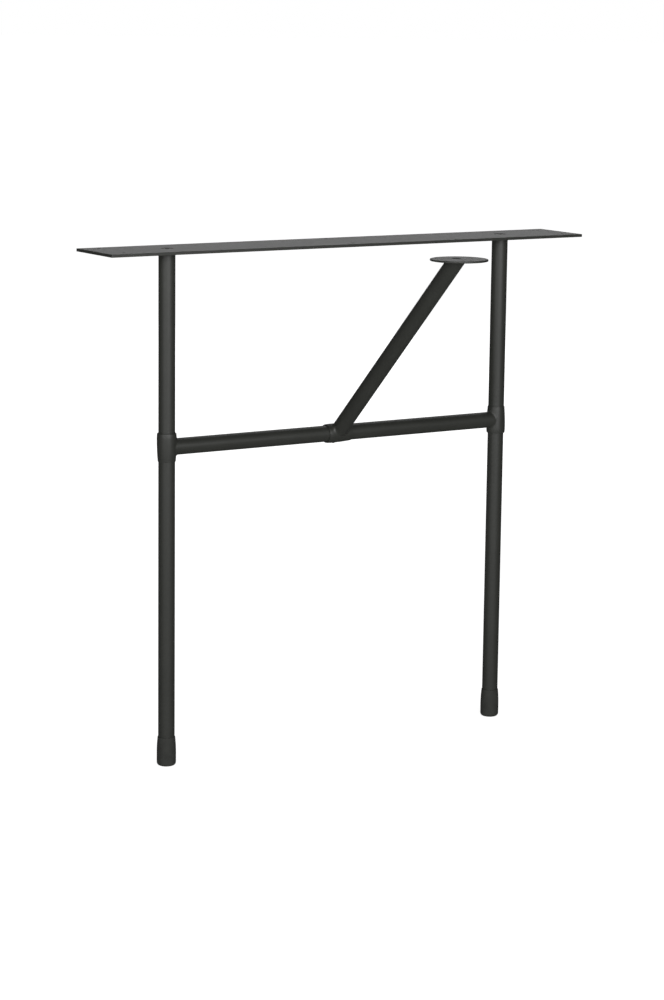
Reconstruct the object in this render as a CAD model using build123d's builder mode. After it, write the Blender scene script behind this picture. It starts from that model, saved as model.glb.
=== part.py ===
from build123d import *

import math
import os

# An H-shaped leg for one end of a table. A flat plate is screwed to two upright tubes, a crossbar
# joins them through tee fittings, and a sloping brace carries a small disc at plate height.
# Millimetres. The origin is the centre of the plate's upper face, +Z is up, +X runs along the
# plate, and the brace leans towards -Y, under the table.

# Driving dimensions
overall_height = 700.0  # floor to the plate's upper face
crossbar_drop = 264.0  # from the plate's upper face down to the crossbar's axis

plate_length = 750.0
plate_width = 100.0
plate_thickness = 4.0
plate_corner_round = 1.0
plate_edge_round = 0.5
leg_inset = 107.5  # from the plate's ends to the legs' axes
plate_hole_diameter = 5.5  # for the wood screws into the table top
plate_hole_inset = 25.0  # from the plate's ends to the outer holes
plate_hole_margin = 15.0  # from the plate's long edges to its holes

tube_diameter = 22.4  # coated tube of the legs, the crossbar and the brace
tube_wall = 1.5

tee_length = 38.0  # of the sleeve, which swells towards one end
tee_full_diameter = 26.6  # where it is fullest
tee_full_place = 12.0  # from the branch's axis to there
tee_full_end_diameter = 25.6  # at the end beyond it
tee_slim_end_diameter = 24.0  # at the other end
tee_end_round = 0.35
tee_full_mouth = 0.8  # chamfer inside the bore at its full end
tee_slim_mouth = 0.3  # and at its slim end
tee_fillet = 4.0  # where the branch leaves the sleeve
tee_reach = 20.0  # from the sleeve's axis to the shoulder that the branch tube meets
spigot_length = 20.0  # of every plug that goes into a tube
spigot_chamfer = 1.0

disc_offset = 286.0  # from the plane of the legs to the disc's centre
disc_diameter = 75.0
disc_thickness = 2.5
disc_edge_round = 1.0
disc_screw_shift = 6.5  # the brace and its screw sit this much nearer the legs than the centre
disc_hole_diameter = 5.5
disc_hole_count = 3
disc_hole_circle = 58.0  # diameter of the circle through the disc's holes
head_neck = 12.0  # length of the brace's head on its short side

cap_height = 40.0  # foot cap, from the floor
cap_floor = 8.0  # thickness under the end of the tube
cap_top_diameter = 23.8
cap_belly_diameter = 26.2
cap_belly_height = 18.0
cap_base_diameter = 25.9
cap_base_round = 4.5
cap_lip_round = 0.3
cap_groove_radii = (7.6, 4.6)  # of the grip rings under the cap, from the outside in
cap_groove_width = 1.2
cap_groove_depth = 0.8

leg_insert_length = 28.0
leg_screw_diameter = 8.0
leg_screw_head = 16.0
leg_screw_length = 22.0
leg_screw_socket = 5.0  # across the flats
disc_screw_diameter = 6.0
disc_screw_head = 12.0
disc_screw_length = 12.0
disc_screw_socket = 4.0
screw_head_land = 0.4  # straight rim above the cone of a countersunk head
screw_end_room = 2.0  # left in a threaded hole beyond the screw's end
screw_end_chamfer = 0.7
socket_depth = 2.2  # of every hexagon socket

bolt_diameter = 6.0
bolt_head_diameter = 10.0
bolt_head_height = 3.8
bolt_head_round = 1.0
bolt_length = 38.0  # under the head
bolt_socket = 4.0
washer_diameter = 11.5
washer_thickness = 1.6  # outside the tee's fullest diameter

# Clearances, each on the radius unless it says otherwise
slip_fit = 0.05  # sleeves and plugs on tubes
thread_fit = 0.05  # screws in their threaded holes
bolt_clearance = 0.3  # bolt in plain holes
seat_gap = 0.05  # between a screw's cone and its seat

# Values that follow
tube_radius = tube_diameter / 2
bore_radius = tube_radius - tube_wall
plug_radius = bore_radius - slip_fit
sleeve_radius = tube_radius + slip_fit
floor_height = -overall_height
leg_spacing = plate_length - 2 * leg_inset
legs = {"left": -leg_spacing / 2, "right": leg_spacing / 2}

x_axis = Vector(1, 0, 0)
z_axis = Vector(0, 0, 1)
crossbar_centre = Vector(0, 0, -crossbar_drop)
disc_centre = Vector(0, -disc_offset, 0)
disc_screw_point = Vector(0, disc_screw_shift - disc_offset, 0)
head_seat = disc_screw_point - z_axis * disc_thickness
brace = head_seat - crossbar_centre
brace_direction = brace.normalized()
brace_rise = math.asin(brace_direction.Z)
brace_leaves = Plane(origin=crossbar_centre, x_dir=x_axis, z_dir=brace_direction)
head_shoulder = brace.length - tube_radius / math.tan(brace_rise) - head_neck


def half_section(origin, along, across):
    """Sketch plane for a turned piece: y runs along its axis and x is the radius, towards across."""
    return Plane(origin=origin, x_dir=across, z_dir=across.cross(along))


def sleeve_section(centre, run, across, gap=0.0):
    """Half section of a tee's sleeve, solid and grown by gap, with its full end where run starts."""
    half = tee_length / 2
    start = (tee_full_end_diameter / 2 + gap, -half)
    fullest = (tee_full_diameter / 2 + gap, -tee_full_place)
    end = (tee_slim_end_diameter / 2 + gap, half)
    with BuildSketch(half_section(centre, run, across), mode=Mode.PRIVATE) as section:
        with BuildLine():
            TangentArc(fullest, start, tangent=(0, -1))
            TangentArc(fullest, end, tangent=(0, 1))
            Polyline(start, (0, -half), (0, half), end)
        make_face()
    return section.sketch


def tee_fitting(centre, run, branch):
    """Sleeve along run, full end first, with a branch that carries a tube on its spigot."""
    branch_root = Plane(origin=centre, x_dir=run, z_dir=branch)
    with BuildPart() as tee:
        revolve(sleeve_section(centre, run, -branch), axis=Axis(centre, run))
        ends = tee.edges().group_by(Axis(centre, run))
        fillet([*ends[0], *ends[-1]], tee_end_round)
        with BuildSketch(branch_root):
            Circle(tube_radius)
        extrude(amount=tee_reach)
        saddle = tee.edges(Select.LAST).filter_by(lambda e: e.geom_type != GeomType.CIRCLE)
        saddle = saddle.filter_by(lambda e: e.geom_type != GeomType.LINE)
        fillet(saddle, tee_fillet)
        with BuildSketch(branch_root.offset(tee_reach)):
            Circle(plug_radius)
        extrude(amount=spigot_length)
        chamfer(tee.faces().sort_by(Axis(centre, branch))[-1].edges(), spigot_chamfer)
        with BuildSketch(Plane(origin=centre, z_dir=run)):
            Circle(sleeve_radius)
        extrude(amount=tee_length / 2, both=True, mode=Mode.SUBTRACT)
        for end, mouth_chamfer in ((0, tee_full_mouth), (-1, tee_slim_mouth)):
            mouth = tee.edges().group_by(Axis(centre, run))[end].sort_by(SortBy.LENGTH)[0]
            chamfer(mouth, mouth_chamfer)
    return tee.part


def countersunk_screw(top, diameter, head_diameter, length, socket):
    """Flat-headed socket screw that points down, with the middle of its head at top."""
    shank_radius = diameter / 2 - thread_fit
    head_radius = head_diameter / 2
    cone_end = screw_head_land + head_radius - shank_radius
    with BuildPart() as screw:
        with BuildSketch(half_section(top, z_axis, x_axis)):
            with BuildLine():
                Polyline(
                    (0, 0),
                    (head_radius, 0),
                    (head_radius, -screw_head_land),
                    (shank_radius, -cone_end),
                    (shank_radius, -length),
                    (0, -length),
                    close=True,
                )
            make_face()
        revolve(axis=Axis(top, z_axis))
        chamfer(screw.faces().sort_by(Axis.Z)[0].edges(), screw_end_chamfer)
        with BuildSketch(Plane(top)):
            RegularPolygon(radius=socket / 2, side_count=6, major_radius=False)
        extrude(amount=-socket_depth, mode=Mode.SUBTRACT)
    return screw.part


def screw_seat_radius(head_diameter):
    """Radius of a countersink at the face that its screw's head lies flush with."""
    return head_diameter / 2 + screw_head_land + seat_gap


# Top plate
with BuildPart() as top_plate:
    with BuildSketch():
        Rectangle(plate_length, plate_width)
        with GridLocations(
            plate_length / 2 - plate_hole_inset, plate_width - 2 * plate_hole_margin, 3, 2
        ):
            Circle(plate_hole_diameter / 2, mode=Mode.SUBTRACT)
    extrude(amount=-plate_thickness)
    fillet(top_plate.edges().filter_by(Axis.Z), plate_corner_round)
    for face in (top_plate.faces().sort_by(Axis.Z)[0], top_plate.faces().sort_by(Axis.Z)[-1]):
        fillet(face.outer_wire().edges(), plate_edge_round)
    with Locations(*[(x, 0, 0) for x in legs.values()]):
        CounterSinkHole(
            radius=leg_screw_diameter / 2 + bolt_clearance,
            counter_sink_radius=screw_seat_radius(leg_screw_head),
            depth=plate_thickness,
            counter_sink_angle=90,
        )
top_plate.part.label = "top_plate"

# Legs, with the plugs in their tops and the screws that hold the plate
leg_length = overall_height - plate_thickness - cap_floor
leg_pieces = []
for side, x in legs.items():
    leg_top = Vector(x, 0, -plate_thickness)
    with BuildPart() as leg_tube:
        with BuildSketch(Plane(leg_top)):
            Circle(tube_radius)
            Circle(bore_radius, mode=Mode.SUBTRACT)
        extrude(amount=-leg_length)
    leg_tube.part.label = f"{side}_leg_tube"

    with BuildPart() as leg_insert:
        with BuildSketch(Plane(leg_top)):
            Circle(plug_radius)
        extrude(amount=-leg_insert_length)
        chamfer(leg_insert.faces().sort_by(Axis.Z)[0].edges(), spigot_chamfer)
        with Locations((x, 0, 0)):
            CounterSinkHole(
                radius=leg_screw_diameter / 2,
                counter_sink_radius=screw_seat_radius(leg_screw_head),
                depth=leg_screw_length + screw_end_room,
                counter_sink_angle=90,
            )
    leg_insert.part.label = f"{side}_leg_insert"

    leg_screw = countersunk_screw(
        Vector(x, 0, 0), leg_screw_diameter, leg_screw_head, leg_screw_length, leg_screw_socket
    )
    leg_screw.label = f"{side}_leg_screw"
    leg_pieces += [leg_tube.part, leg_insert.part, leg_screw]

# Foot caps, turned profiles over the lower ends of the legs
cap_pieces = []
for side, x in legs.items():
    foot = Vector(x, 0, floor_height)
    with BuildPart() as foot_cap:
        with BuildSketch(half_section(foot, z_axis, x_axis)):
            with BuildLine():
                belly = (cap_belly_diameter / 2, cap_belly_height)
                TangentArc(belly, (cap_base_diameter / 2, 0), tangent=(0, -1))
                TangentArc(belly, (cap_top_diameter / 2, cap_height), tangent=(0, 1))
                Polyline(
                    (cap_top_diameter / 2, cap_height),
                    (sleeve_radius, cap_height),
                    (sleeve_radius, cap_floor),
                    (0, cap_floor),
                    (0, 0),
                    (cap_base_diameter / 2, 0),
                )
            make_face()
        revolve(axis=Axis(foot, z_axis))
        fillet(foot_cap.edges().group_by(Axis.Z)[0], cap_base_round)
        fillet(foot_cap.edges().group_by(Axis.Z)[-1].sort_by(SortBy.RADIUS)[-1], cap_lip_round)
        with BuildSketch(Plane(foot)):
            for radius in cap_groove_radii:
                Circle(radius + cap_groove_width / 2)
                Circle(radius - cap_groove_width / 2, mode=Mode.SUBTRACT)
        extrude(amount=cap_groove_depth, mode=Mode.SUBTRACT)
    foot_cap.part.label = f"{side}_foot_cap"
    cap_pieces.append(foot_cap.part)

# Tees on the legs and the crossbar between their shoulders
left_tee = tee_fitting(Vector(legs["left"], 0, -crossbar_drop), -z_axis, x_axis)
left_tee.label = "left_tee"
right_tee = tee_fitting(Vector(legs["right"], 0, -crossbar_drop), z_axis, -x_axis)
right_tee.label = "right_tee"

crossbar_length = leg_spacing - 2 * tee_reach
with BuildPart() as crossbar_tube:
    with BuildSketch(Plane(origin=crossbar_centre, z_dir=x_axis)):
        Circle(tube_radius)
        Circle(bore_radius, mode=Mode.SUBTRACT)
    extrude(amount=crossbar_length / 2, both=True)
    with BuildSketch(brace_leaves):
        Circle(bolt_diameter / 2 + bolt_clearance)
    extrude(amount=tube_diameter, both=True, mode=Mode.SUBTRACT)
crossbar_tube.part.label = "crossbar_tube"

# Centre tee, turned round the crossbar towards the disc and drilled for the brace bolt
washer_face = tee_full_diameter / 2 + washer_thickness
bolt_end = bolt_length - washer_face
with BuildPart() as centre_tee:
    add(tee_fitting(crossbar_centre, x_axis, brace_direction))
    with BuildSketch(brace_leaves):
        Circle(bolt_diameter / 2 + bolt_clearance)
    extrude(amount=-tee_full_diameter, mode=Mode.SUBTRACT)
    with BuildSketch(brace_leaves):
        Circle(bolt_diameter / 2)
    extrude(amount=bolt_end + screw_end_room, mode=Mode.SUBTRACT)
centre_tee.part.label = "centre_tee"

# Saddle washer, hollowed with the outline of the tee that it lies on, and the bolt behind it
with BuildPart() as brace_saddle_washer:
    with BuildSketch(brace_leaves.offset(-washer_face)):
        Circle(washer_diameter / 2)
        Circle(bolt_diameter / 2 + bolt_clearance, mode=Mode.SUBTRACT)
    extrude(amount=washer_face)
    revolve(
        sleeve_section(crossbar_centre, x_axis, -brace_direction, slip_fit),
        axis=Axis(crossbar_centre, x_axis),
        mode=Mode.SUBTRACT,
    )
brace_saddle_washer.part.label = "brace_saddle_washer"

with BuildPart() as brace_bolt:
    bolt_head = brace_leaves.offset(-washer_face)
    with BuildSketch(bolt_head):
        Circle(bolt_head_diameter / 2)
    extrude(amount=-bolt_head_height)
    fillet(brace_bolt.edges().sort_by(Axis(crossbar_centre, brace_direction))[0], bolt_head_round)
    with BuildSketch(bolt_head):
        Circle(bolt_diameter / 2 - thread_fit)
    extrude(amount=bolt_length)
    with BuildSketch(bolt_head.offset(-bolt_head_height)):
        RegularPolygon(radius=bolt_socket / 2, side_count=6, major_radius=False)
    extrude(amount=socket_depth, mode=Mode.SUBTRACT)
brace_bolt.part.label = "brace_bolt"

# Brace tube, square at both ends, from the centre tee's shoulder to the head's
with BuildPart() as brace_tube:
    with BuildSketch(brace_leaves.offset(tee_reach)):
        Circle(tube_radius)
        Circle(bore_radius, mode=Mode.SUBTRACT)
    extrude(amount=head_shoulder - tee_reach)
brace_tube.part.label = "brace_tube"

# Head of the brace, a solid end to its tube that is cut level under the disc
with BuildPart() as brace_head:
    with BuildSketch(brace_leaves.offset(head_shoulder)):
        Circle(tube_radius)
    extrude(amount=2 * (brace.length - head_shoulder))
    split(bisect_by=Plane(head_seat), keep=Keep.BOTTOM)
    with BuildSketch(brace_leaves.offset(head_shoulder)):
        Circle(plug_radius)
    extrude(amount=-spigot_length)
    chamfer(
        brace_head.faces().sort_by(Axis(crossbar_centre, brace_direction))[0].edges(),
        spigot_chamfer,
    )
    with Locations(disc_screw_point):
        CounterSinkHole(
            radius=disc_screw_diameter / 2,
            counter_sink_radius=screw_seat_radius(disc_screw_head),
            depth=disc_screw_length + screw_end_room,
            counter_sink_angle=90,
        )
brace_head.part.label = "brace_head"

# Disc, with its screw into the brace's head
with BuildPart() as brace_disc:
    with BuildSketch(Plane(disc_centre)):
        Circle(disc_diameter / 2)
        with PolarLocations(disc_hole_circle / 2, disc_hole_count, start_angle=-90):
            Circle(disc_hole_diameter / 2, mode=Mode.SUBTRACT)
    extrude(amount=-disc_thickness)
    rim = brace_disc.edges().filter_by(GeomType.CIRCLE).group_by(SortBy.RADIUS)[-1]
    fillet(rim, disc_edge_round)
    with Locations(disc_screw_point):
        CounterSinkHole(
            radius=disc_screw_diameter / 2 + bolt_clearance,
            counter_sink_radius=screw_seat_radius(disc_screw_head),
            depth=disc_thickness,
            counter_sink_angle=90,
        )
brace_disc.part.label = "brace_disc"

brace_disc_screw = countersunk_screw(
    disc_screw_point, disc_screw_diameter, disc_screw_head, disc_screw_length, disc_screw_socket
)
brace_disc_screw.label = "brace_disc_screw"

# One STEP file for each piece
pieces = [
    top_plate.part,
    *leg_pieces,
    *cap_pieces,
    left_tee,
    right_tee,
    crossbar_tube.part,
    centre_tee.part,
    brace_saddle_washer.part,
    brace_bolt.part,
    brace_tube.part,
    brace_head.part,
    brace_disc.part,
    brace_disc_screw,
]
os.makedirs("parts", exist_ok=True)
for piece in pieces:
    export_step(piece, f"parts/{piece.label}.step")
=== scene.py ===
"""Looks for an H-shaped table leg in charcoal powder coat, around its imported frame."""

import logging
import math
from dataclasses import dataclass
from enum import Enum

import bmesh
import bpy
from mathutils import Matrix, Vector


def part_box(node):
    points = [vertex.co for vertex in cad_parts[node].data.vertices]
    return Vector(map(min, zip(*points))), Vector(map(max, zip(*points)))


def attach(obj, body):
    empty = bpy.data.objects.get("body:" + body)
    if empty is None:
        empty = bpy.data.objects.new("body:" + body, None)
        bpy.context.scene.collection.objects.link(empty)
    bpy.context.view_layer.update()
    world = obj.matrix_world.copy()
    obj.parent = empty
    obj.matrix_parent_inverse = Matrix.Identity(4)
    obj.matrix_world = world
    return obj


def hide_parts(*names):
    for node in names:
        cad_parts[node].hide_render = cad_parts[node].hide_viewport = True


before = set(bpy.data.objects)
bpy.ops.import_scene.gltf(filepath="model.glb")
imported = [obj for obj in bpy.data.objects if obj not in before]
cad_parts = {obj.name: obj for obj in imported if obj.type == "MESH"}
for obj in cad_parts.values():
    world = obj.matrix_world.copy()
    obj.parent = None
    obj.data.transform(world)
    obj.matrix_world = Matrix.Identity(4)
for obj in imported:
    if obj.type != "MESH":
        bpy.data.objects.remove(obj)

LOG = logging.getLogger("table_leg")

Colour = tuple[float, float, float]
Point = tuple[float, float, float]
Socket = bpy.types.NodeSocket
Span = tuple[float, float]

# Lengths are in metres, apart from those whose names end in mm.
SIDES = ("left", "right")
FLOOR_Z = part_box("left_foot_cap")[0][2]
MM_PER_M = 1000.0

CREASE = math.radians(35.0)  # an edge that turns by more than this stays sharp
HEX_SIDE = math.radians(60.0)  # turn that one side of a hexagon takes
QUARTER_TURN = 90  # degrees
ARC_STEP = 15  # degrees between two points of a rounded rim
MERGE_DISTANCE = 1e-7

WHITE = (1.0, 1.0, 1.0, 1.0)
WHOLE: Span = (0.0, 1.0)
NOISE_MIDDLE: Span = (0.35, 0.65)  # most values of a noise pattern lie here
WAVE_SCALE = 314.16  # scale of a wave pattern with rings 1 mm apart

PHOTO_LONG_SIDE = 1000  # pixels
SENSOR_MM = 36.0


class Slot(Enum):
    """Material slots of the record."""

    COAT = "powder_coat"
    SCREW = "black_screw"
    STEEL = "bare_steel"
    RUBBER = "foot_rubber"


Finishes = dict[Slot, bpy.types.Material]


@dataclass(frozen=True)
class Noise:
    """A noise pattern in object space."""

    grain_mm: float  # size of one grain
    detail: float  # number of finer layers
    roughness: float = 0.5  # how strong the finer layers are


class NodeGraph:
    """Small helper that adds and wires the shader nodes of one material."""

    def __init__(self, name: str) -> None:
        """Makes a material with an output, a Principled shader and object coordinates.

        Args:
            name: Name of the new material.
        """
        self.material = bpy.data.materials.new(name)
        self.material.use_nodes = True
        self.tree = self.material.node_tree
        self.tree.nodes.clear()
        self.output = self.add("ShaderNodeOutputMaterial")
        self.shader = self.add("ShaderNodeBsdfPrincipled")
        self.wire(self.shader.outputs["BSDF"], self.output.inputs["Surface"])
        self.coords = self.add("ShaderNodeTexCoord").outputs["Object"]

    def add(self, kind: str, **values: object) -> bpy.types.Node:
        """Adds one node.

        Args:
            kind: Blender's node type.
            values: Attributes to set on the node.

        Returns:
            The new node.
        """
        node = self.tree.nodes.new(kind)
        for key, value in values.items():
            setattr(node, key, value)
        return node

    def wire(self, start: Socket, end: Socket) -> None:
        """Joins two sockets."""
        self.tree.links.new(start, end)

    def feed(self, label: str, value: Socket) -> None:
        """Wires a value to an input of the shader."""
        self.wire(value, self.shader.inputs[label])

    def fix(self, label: str, value: float | tuple[float, ...]) -> None:
        """Sets an input of the shader to one value all over."""
        self.shader.inputs[label].default_value = value

    def noise(self, pattern: Noise) -> Socket:
        """Adds a noise pattern.

        Args:
            pattern: What the noise looks like.

        Returns:
            The pattern's value, from 0 to 1.
        """
        node = self.add("ShaderNodeTexNoise")
        self.wire(self.coords, node.inputs["Vector"])
        node.inputs["Scale"].default_value = MM_PER_M / pattern.grain_mm
        node.inputs["Detail"].default_value = pattern.detail
        node.inputs["Roughness"].default_value = pattern.roughness
        return node.outputs["Fac"]

    def remap(self, value: Socket, result: Span, source: Span = NOISE_MIDDLE) -> Socket:
        """Maps a value from one span to another, and holds it at the ends.

        Args:
            value: The value, such as a pattern.
            result: The values that come out at the two ends of source.
            source: The span that is mapped.

        Returns:
            The new value.
        """
        node = self.add("ShaderNodeMapRange")
        self.wire(value, node.inputs["Value"])
        node.inputs["From Min"].default_value, node.inputs["From Max"].default_value = source
        node.inputs["To Min"].default_value, node.inputs["To Max"].default_value = result
        return node.outputs["Result"]

    def shade(self, colour: Colour, value: Socket) -> Socket:
        """Multiplies a colour by a varying brightness.

        Args:
            colour: Linear colour.
            value: Brightness factor.

        Returns:
            The varying colour.
        """
        node = self.add("ShaderNodeVectorMath", operation="SCALE")
        node.inputs[0].default_value = colour
        self.wire(value, node.inputs["Scale"])
        return node.outputs["Vector"]

    def multiply(self, one: Socket, two: Socket) -> Socket:
        """Multiplies two values.

        Args:
            one: The first value.
            two: The second value.

        Returns:
            Their product.
        """
        node = self.add("ShaderNodeMath", operation="MULTIPLY")
        self.wire(one, node.inputs[0])
        self.wire(two, node.inputs[1])
        return node.outputs["Value"]

    def bump(self, height: Socket, depth_mm: float, below: Socket | None = None) -> Socket:
        """Turns a height pattern into a surface relief.

        Args:
            height: The pattern, from 0 to 1.
            depth_mm: Depth of the relief in millimetres.
            below: A coarser relief that this one lies on.

        Returns:
            The bent normal.
        """
        node = self.add("ShaderNodeBump")
        node.inputs["Strength"].default_value = 1.0
        node.inputs["Distance"].default_value = depth_mm / MM_PER_M
        self.wire(height, node.inputs["Height"])
        if below is not None:
            self.wire(below, node.inputs["Normal"])
        return node.outputs["Normal"]


def around(middle: float, reach: float) -> Span:
    """Works out the span that reaches equally far below and above a value."""
    return (middle - reach, middle + reach)


def direction(azimuth: float, elevation: float) -> Vector:
    """Works out the direction that leads from the leg to a lamp or to the camera.

    Args:
        azimuth: Degrees, 0 in front of the plate and positive to the right.
        elevation: Degrees above the level.

    Returns:
        The direction, with a length of one.
    """
    turn, rise = math.radians(azimuth), math.radians(elevation)
    return Vector((math.sin(turn) * math.cos(rise), -math.cos(turn) * math.cos(rise), math.sin(rise)))


@dataclass(frozen=True)
class PowderCoat:
    """Matt charcoal powder coat with a fine baked grain and a faint orange peel."""

    colour: Colour = (0.0325, 0.0342, 0.0295)
    roughness: float = 0.45
    roughness_reach: float = 0.05
    gloss: float = 0.64
    grain: Noise = Noise(0.55, 2.0)
    grain_tone: Span = (0.9, 1.1)
    grain_depth_mm: float = 0.03
    peel: Noise = Noise(3.0, 1.0)
    peel_depth_mm: float = 0.05
    cloud: Noise = Noise(60.0, 3.0)
    cloud_tone: Span = (0.95, 1.05)

    def material(self) -> bpy.types.Material:
        """Builds the coat.

        Returns:
            The material.
        """
        graph = NodeGraph("powder_coat")
        grain = graph.noise(self.grain)
        peel = graph.noise(self.peel)
        cloud = graph.noise(self.cloud)
        tone = graph.multiply(graph.remap(grain, self.grain_tone), graph.remap(cloud, self.cloud_tone))
        graph.feed("Base Color", graph.shade(self.colour, tone))
        graph.feed("Roughness", graph.remap(grain, around(self.roughness, self.roughness_reach)))
        relief = graph.bump(peel, self.peel_depth_mm)
        relief = graph.bump(grain, self.grain_depth_mm, relief)
        graph.feed("Normal", relief)
        graph.fix("Specular IOR Level", self.gloss)
        return graph.material


@dataclass(frozen=True)
class BlackedSteel:
    """Blackened steel of the screws, the bolt and the washer, a little oily."""

    colour: Colour = (0.03, 0.03, 0.03)
    roughness: float = 0.27
    roughness_reach: float = 0.08
    metallic: float = 0.6
    grain: Noise = Noise(0.25, 3.0)
    grain_tone: Span = (0.88, 1.12)
    grain_depth_mm: float = 0.003
    stain: Noise = Noise(5.0, 4.0, 0.6)
    stain_tone: Span = (0.8, 1.3)

    def material(self) -> bpy.types.Material:
        """Builds the blackened steel.

        Returns:
            The material.
        """
        graph = NodeGraph("blacked_steel")
        grain = graph.noise(self.grain)
        stain = graph.noise(self.stain)
        tone = graph.multiply(graph.remap(grain, self.grain_tone), graph.remap(stain, self.stain_tone))
        graph.feed("Base Color", graph.shade(self.colour, tone))
        graph.feed("Roughness", graph.remap(stain, around(self.roughness, self.roughness_reach)))
        graph.feed("Normal", graph.bump(grain, self.grain_depth_mm))
        graph.fix("Metallic", self.metallic)
        return graph.material


@dataclass(frozen=True)
class TurnedSteel:
    """Bare steel of the inserts, with the rings of the lathe."""

    colour: Colour = (0.42, 0.41, 0.4)
    ring_mm: float = 3.5
    ring_wobble: float = 0.4
    ring_tone: Span = (0.9, 1.08)
    ring_roughness: Span = (0.28, 0.4)
    ring_depth_mm: float = 0.01

    def material(self) -> bpy.types.Material:
        """Builds the turned steel.

        Returns:
            The material.
        """
        graph = NodeGraph("turned_steel")
        rings = graph.add("ShaderNodeTexWave", wave_type="BANDS", bands_direction="Z")
        graph.wire(graph.coords, rings.inputs["Vector"])
        rings.inputs["Scale"].default_value = WAVE_SCALE / self.ring_mm
        rings.inputs["Distortion"].default_value = self.ring_wobble
        value = rings.outputs["Fac"]
        graph.feed("Base Color", graph.shade(self.colour, graph.remap(value, self.ring_tone, WHOLE)))
        graph.feed("Roughness", graph.remap(value, self.ring_roughness, WHOLE))
        graph.feed("Normal", graph.bump(value, self.ring_depth_mm))
        graph.fix("Metallic", 1.0)
        return graph.material


@dataclass(frozen=True)
class MouldedRubber:
    """Matt moulded rubber of the foot caps, lighter towards the floor."""

    colour: Colour = (0.0355, 0.0367, 0.033)
    roughness: float = 0.66
    roughness_reach: float = 0.05
    gloss: float = 0.35
    grain: Noise = Noise(0.4, 3.0)
    grain_tone: Span = (0.9, 1.1)
    grain_depth_mm: float = 0.02
    blotch: Noise = Noise(9.0, 4.0)
    blotch_tone: Span = (0.9, 1.12)
    lift_tone: float = 1.25  # brightness at the floor
    lift_height: float = 0.012

    def material(self) -> bpy.types.Material:
        """Builds the rubber.

        Returns:
            The material.
        """
        graph = NodeGraph("moulded_rubber")
        grain = graph.noise(self.grain)
        blotch = graph.noise(self.blotch)
        tone = graph.multiply(graph.remap(grain, self.grain_tone), graph.remap(blotch, self.blotch_tone))
        split = graph.add("ShaderNodeSeparateXYZ")
        graph.wire(graph.coords, split.inputs["Vector"])
        # The colour gets lighter over the lowest part of the cap, towards the floor.
        lift_span = (FLOOR_Z, FLOOR_Z + self.lift_height)
        lift = graph.remap(split.outputs["Z"], (self.lift_tone, 1.0), lift_span)
        graph.feed("Base Color", graph.shade(self.colour, graph.multiply(tone, lift)))
        graph.feed("Roughness", graph.remap(blotch, around(self.roughness, self.roughness_reach)))
        graph.feed("Normal", graph.bump(grain, self.grain_depth_mm))
        graph.fix("Specular IOR Level", self.gloss)
        return graph.material


def make_finishes() -> Finishes:
    """Builds the finish of every slot.

    Returns:
        The material of each slot.
    """
    return {
        Slot.COAT: PowderCoat().material(),
        Slot.SCREW: BlackedSteel().material(),
        Slot.STEEL: TurnedSteel().material(),
        Slot.RUBBER: MouldedRubber().material(),
    }


def dress(node: str, finishes: Finishes, slot: Slot) -> None:
    """Gives a CAD node its finish.

    Args:
        node: Name of the CAD node.
        finishes: The finish of every slot.
        slot: The node's slot in the record.
    """
    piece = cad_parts[node]
    piece.data.materials.clear()
    piece.data.materials.append(finishes[slot])
    LOG.info("dressed %s", node)


def finish_piece(
    shape: bmesh.types.BMesh, name: str, node: str, finishes: Finishes, slot: Slot
) -> bpy.types.Object:
    """Turns a built shape into a piece that stands for a CAD node.

    Args:
        shape: The built shape, which is used up.
        name: Name of the piece.
        node: The CAD node that it replaces.
        finishes: The finish of every slot.
        slot: The piece's slot.

    Returns:
        The piece.
    """
    for face in shape.faces:
        face.smooth = True
    for edge in shape.edges:
        edge.smooth = len(edge.link_faces) == 2 and edge.calc_face_angle() < CREASE
    mesh = bpy.data.meshes.new(name)
    shape.to_mesh(mesh)
    shape.free()
    mesh.materials.append(finishes[slot])
    piece = bpy.data.objects.new(name, mesh)
    bpy.context.scene.collection.objects.link(piece)
    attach(piece, "root")
    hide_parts(node)
    LOG.info("made %s", name)
    return piece


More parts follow.
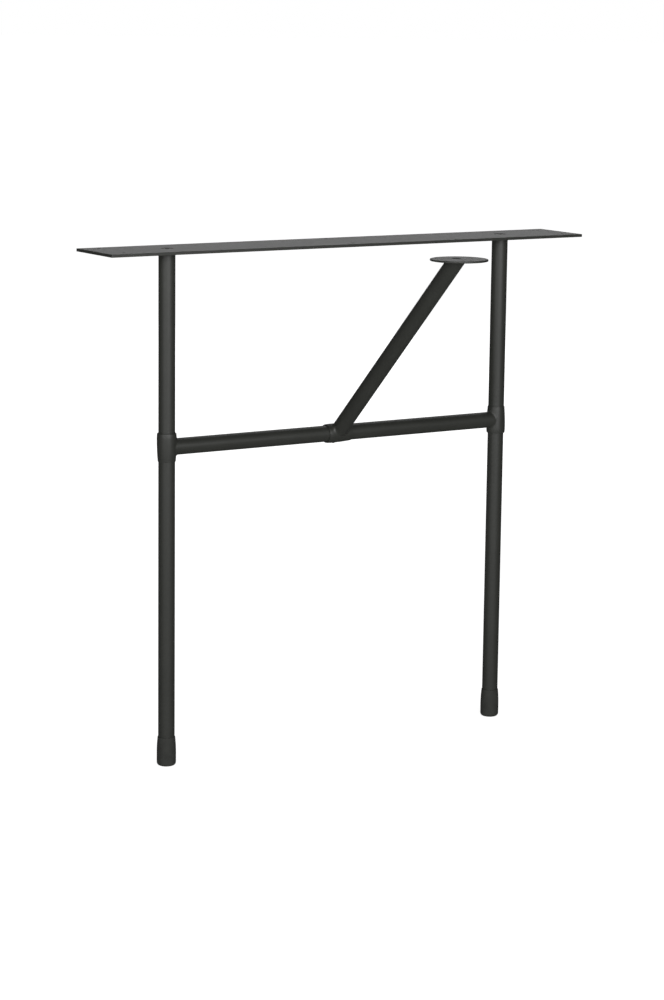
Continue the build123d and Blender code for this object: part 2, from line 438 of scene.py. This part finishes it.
@dataclass
class SocketScrew:
    """Countersunk socket screw, driven a little below the face that it holds.

    Its cone is the cone of the CAD screw that it stands for, which points down.
    """

    node: str
    flats: float  # width of the hexagon socket
    recess: float  # depth of the head's face below the held face
    rim_round: float = 0.0003
    land: float = 0.0004  # height of the CAD screw's straight rim, above the cone
    shank_share: float = 0.49  # shank's radius to the head's
    socket_depth: float = 0.0022  # depth of the socket's floor below the held face
    socket_round: float = 0.00012
    end_chamfer: float = 0.0007
    steps: int = 60

    def outline(self, head: float, length: float) -> list[tuple[float, float]]:
        """Works out the turned outline from the socket's mouth to the tip.

        Args:
            head: Radius of the CAD screw's head.
            length: Length of the CAD screw, which reaches up to the held face.

        Returns:
            Radius and depth of each point.
        """
        cone = head + self.land  # radius plus depth, all down the cone
        shank = head * self.shank_share
        corner = self.recess + self.rim_round
        rim = cone - corner - self.rim_round
        points = [(self.flats / math.sqrt(3.0), self.recess)]
        for step in range(0, QUARTER_TURN + 1, ARC_STEP):
            turn = math.radians(step)
            points.append((rim + self.rim_round * math.sin(turn), corner - self.rim_round * math.cos(turn)))
        points.append((shank, cone - shank))
        points.append((shank, length - self.end_chamfer))
        points.append((shank - self.end_chamfer, length))
        points.append((0.0, length))
        return points

    def build(self, finishes: Finishes) -> bpy.types.Object:
        """Makes the screw in the place of its node.

        Args:
            finishes: The finish of every slot.

        Returns:
            The screw's object.
        """
        low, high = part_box(self.node)
        x, y, top = (low[0] + high[0]) / 2, (low[1] + high[1]) / 2, high[2]
        shape = bmesh.new()
        outline = self.outline((high[0] - low[0]) / 2, high[2] - low[2])
        chain = [shape.verts.new((x + radius, y, top - depth)) for radius, depth in outline]
        rungs = [shape.edges.new(pair) for pair in zip(chain, chain[1:])]
        bmesh.ops.spin(
            shape,
            geom=[*chain, *rungs],
            cent=(x, y, 0.0),
            axis=(0.0, 0.0, 1.0),
            angle=math.tau,
            steps=self.steps,
            use_merge=True,
        )
        bmesh.ops.remove_doubles(shape, verts=shape.verts, dist=MERGE_DISTANCE)
        self.cut_socket(shape, Vector((x, y, 0.0)))
        bmesh.ops.recalc_face_normals(shape, faces=shape.faces)
        return finish_piece(shape, f"{self.node}_sunk", self.node, finishes, Slot.SCREW)

    def cut_socket(self, shape: bmesh.types.BMesh, axis: Vector) -> None:
        """Turns the head's open middle into a hexagon socket with a floor.

        Args:
            shape: The turned screw, open in the middle of its head.
            axis: Any point on the screw's axis.
        """
        mouth = [edge for edge in shape.edges if edge.is_boundary]
        for vert in {vert: None for edge in mouth for vert in edge.verts}:
            out = Vector((vert.co.x - axis.x, vert.co.y - axis.y, 0.0))
            turn = math.atan2(out.y, out.x) % HEX_SIDE - HEX_SIDE / 2
            vert.co -= out * (1.0 - math.cos(HEX_SIDE / 2) / math.cos(turn))
        walls = bmesh.ops.extrude_edge_only(shape, edges=mouth)["geom"]
        floor_verts = [part for part in walls if isinstance(part, bmesh.types.BMVert)]
        deep = Vector((0.0, 0.0, self.recess - self.socket_depth))
        bmesh.ops.translate(shape, verts=floor_verts, vec=deep)
        floor_edges = [edge for edge in shape.edges if edge.is_boundary]
        bmesh.ops.contextual_create(shape, geom=floor_edges)
        bmesh.ops.bevel(
            shape,
            geom=mouth,
            offset=self.socket_round,
            segments=2,
            profile=0.5,
            affect="EDGES",
            material=-1,
        )


@dataclass
class TopPlate:
    """The flat plate with the screws and inserts that hold the legs."""

    screw_flats: float = 0.005
    screw_recess: float = 0.0006

    def build(self, finishes: Finishes) -> None:
        """Dresses the plate and makes its fixings.

        Args:
            finishes: The finish of every slot.
        """
        dress("top_plate", finishes, Slot.COAT)
        for side in SIDES:
            SocketScrew(f"{side}_leg_screw", self.screw_flats, self.screw_recess).build(finishes)
            dress(f"{side}_leg_insert", finishes, Slot.STEEL)


@dataclass
class Upright:
    """One leg tube with its tee and its foot cap."""

    side: str

    def build(self, finishes: Finishes) -> None:
        """Dresses the tube, the tee and the cap.

        Args:
            finishes: The finish of every slot.
        """
        dress(f"{self.side}_leg_tube", finishes, Slot.COAT)
        dress(f"{self.side}_tee", finishes, Slot.COAT)
        dress(f"{self.side}_foot_cap", finishes, Slot.RUBBER)


@dataclass
class Brace:
    """The crossbar and the sloping brace with its disc."""

    coated: tuple[str, ...] = ("crossbar_tube", "centre_tee", "brace_tube", "brace_head", "brace_disc")
    fixings: tuple[str, ...] = ("brace_bolt", "brace_saddle_washer")
    screw_flats: float = 0.004
    screw_recess: float = 0.0008

    def build(self, finishes: Finishes) -> None:
        """Dresses the brace and makes the screw in its disc.

        Args:
            finishes: The finish of every slot.
        """
        for node in self.coated:
            dress(node, finishes, Slot.COAT)
        for node in self.fixings:
            dress(node, finishes, Slot.SCREW)
        SocketScrew("brace_disc_screw", self.screw_flats, self.screw_recess).build(finishes)


@dataclass(frozen=True)
class SoftBox:
    """A soft rectangular lamp that looks at a point near the leg."""

    name: str
    azimuth: float  # degrees, where the lamp stands as seen from its target
    elevation: float  # degrees
    distance: float
    width: float
    height: float
    power: float  # watts
    target: Point = (0.0, -0.1, -0.35)

    def build(self) -> bpy.types.Object:
        """Makes the lamp.

        Returns:
            The lamp's object.
        """
        light = bpy.data.lights.new(self.name, "AREA")
        light.shape = "RECTANGLE"
        light.size, light.size_y = self.width, self.height
        light.energy = self.power
        lamp = bpy.data.objects.new(self.name, light)
        back = direction(self.azimuth, self.elevation)
        lamp.location = Vector(self.target) + back * self.distance
        lamp.rotation_mode = "QUATERNION"
        lamp.rotation_quaternion = (-back).to_track_quat("-Z", "Y")
        lamp.visible_camera = False
        bpy.context.scene.collection.objects.link(lamp)
        return lamp


@dataclass(frozen=True)
class PhotoCamera:
    """Camera at the photograph's place."""

    place: Point = (-2.0302, -3.2128, 0.3322)
    azimuth: float = -32.197  # degrees, the side from which it looks
    pitch: float = 10.300  # degrees that it looks down
    roll: float = 0.684  # degrees that its right side is raised
    focal_px: float = 2791.2
    clip: Span = (0.05, 200.0)

    def build(self) -> bpy.types.Object:
        """Makes the camera and gives it to the scene.

        Returns:
            The camera's object.
        """
        data = bpy.data.cameras.new("photo_camera")
        data.sensor_width = SENSOR_MM
        data.lens = self.focal_px * SENSOR_MM / PHOTO_LONG_SIDE
        data.clip_start, data.clip_end = self.clip
        camera = bpy.data.objects.new("photo_camera", data)
        back = direction(self.azimuth, self.pitch)
        turn, roll = math.radians(self.azimuth), math.radians(self.roll)
        right = Vector((math.cos(turn), math.sin(turn), 0.0))
        up = back.cross(right)
        across = right * math.cos(roll) + up * math.sin(roll)
        upward = up * math.cos(roll) - right * math.sin(roll)
        axes = Matrix((across, upward, back)).transposed()
        camera.matrix_world = Matrix.Translation(self.place) @ axes.to_4x4()
        bpy.context.scene.collection.objects.link(camera)
        bpy.context.scene.camera = camera
        return camera


@dataclass
class Studio:
    """Pale floor, soft lamps, light from all round and the camera."""

    floor_radius: float = 60.0
    floor_segments: int = 96
    floor_tone: float = 0.86
    floor_roughness: float = 0.9
    floor_near: float = 0.84  # glow under the leg, as the camera sees it
    floor_far: float = 1.0  # and beyond the fade
    fade: Span = (0.9, 2.6)  # distances from the origin
    floor_bounce: float = 0.25  # glow as the leg sees it
    air_glow: float = 0.045  # as the leg sees it
    air_seen: float = 1.0  # as the camera sees it
    boxes: tuple[SoftBox, ...] = (
        SoftBox("key_box", -12.0, 11.0, 2.6, 2.0, 0.8, 33.0, (0.22, -0.1, -0.15)),
        SoftBox("left_box", -58.0, 9.0, 3.6, 2.8, 1.0, 38.0, (0.0, -0.1, -0.15)),
        SoftBox("back_box", 148.0, 7.0, 5.0, 4.0, 1.2, 19.6, (0.0, 0.0, -0.05)),
        SoftBox("high_back_box", 148.0, 40.0, 4.0, 3.0, 1.6, 12.0),
    )

    def build(self) -> None:
        """Makes the floor, the surrounding light, the lamps and the camera."""
        self.build_floor()
        self.build_air()
        for box in self.boxes:
            box.build()
        PhotoCamera().build()
        bpy.context.scene.view_settings.view_transform = "Standard"

    def build_floor(self) -> None:
        """Makes the round pale floor."""
        shape = bmesh.new()
        bmesh.ops.create_circle(shape, cap_ends=True, segments=self.floor_segments, radius=self.floor_radius)
        bmesh.ops.translate(shape, verts=shape.verts, vec=(0.0, 0.0, FLOOR_Z))
        mesh = bpy.data.meshes.new("studio_floor")
        shape.to_mesh(mesh)
        shape.free()
        floor = bpy.data.objects.new("studio_floor", mesh)
        bpy.context.scene.collection.objects.link(floor)
        mesh.materials.append(self.floor_material())
        floor.visible_glossy = False

    def floor_material(self) -> bpy.types.Material:
        """Builds the floor's matt white, whose glow fades to pure white far from the leg.

        Returns:
            The material.
        """
        graph = NodeGraph("pale_floor")
        graph.fix("Base Color", (self.floor_tone,) * 3 + (1.0,))
        graph.fix("Roughness", self.floor_roughness)
        graph.fix("Specular IOR Level", 0.0)
        graph.fix("Emission Color", WHITE)
        away = graph.add("ShaderNodeVectorMath", operation="LENGTH")
        graph.wire(graph.coords, away.inputs[0])
        seen = graph.remap(away.outputs["Value"], (self.floor_near, self.floor_far), self.fade)
        rays = graph.add("ShaderNodeLightPath").outputs["Is Camera Ray"]
        glow = graph.remap(rays, (self.floor_bounce, self.floor_far), WHOLE)
        graph.wire(seen, glow.node.inputs["To Max"])
        graph.feed("Emission Strength", glow)
        return graph.material

    def build_air(self) -> None:
        """Makes the light that comes from all round, dim on the leg and white to the camera."""
        world = bpy.data.worlds.new("studio_air")
        bpy.context.scene.world = world
        world.use_nodes = True
        tree = world.node_tree
        tree.nodes.clear()
        output = tree.nodes.new("ShaderNodeOutputWorld")
        mix = tree.nodes.new("ShaderNodeMixShader")
        rays = tree.nodes.new("ShaderNodeLightPath")
        tree.links.new(rays.outputs["Is Camera Ray"], mix.inputs["Fac"])
        # The mix passes its second input on to the camera and its first to all other rays.
        for number, strength in enumerate((self.air_glow, self.air_seen), start=1):
            air = tree.nodes.new("ShaderNodeBackground")
            air.inputs["Color"].default_value = WHITE
            air.inputs["Strength"].default_value = strength
            tree.links.new(air.outputs["Background"], mix.inputs[number])
        tree.links.new(mix.outputs["Shader"], output.inputs["Surface"])


def main() -> None:
    """Builds the looks of the leg and the studio round it."""
    logging.basicConfig(level=logging.INFO, format="%(name)s: %(message)s")
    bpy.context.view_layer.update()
    finishes = make_finishes()
    TopPlate().build(finishes)
    for side in SIDES:
        Upright(side).build(finishes)
    Brace().build(finishes)
    Studio().build()


if __name__ == "__main__":
    main()
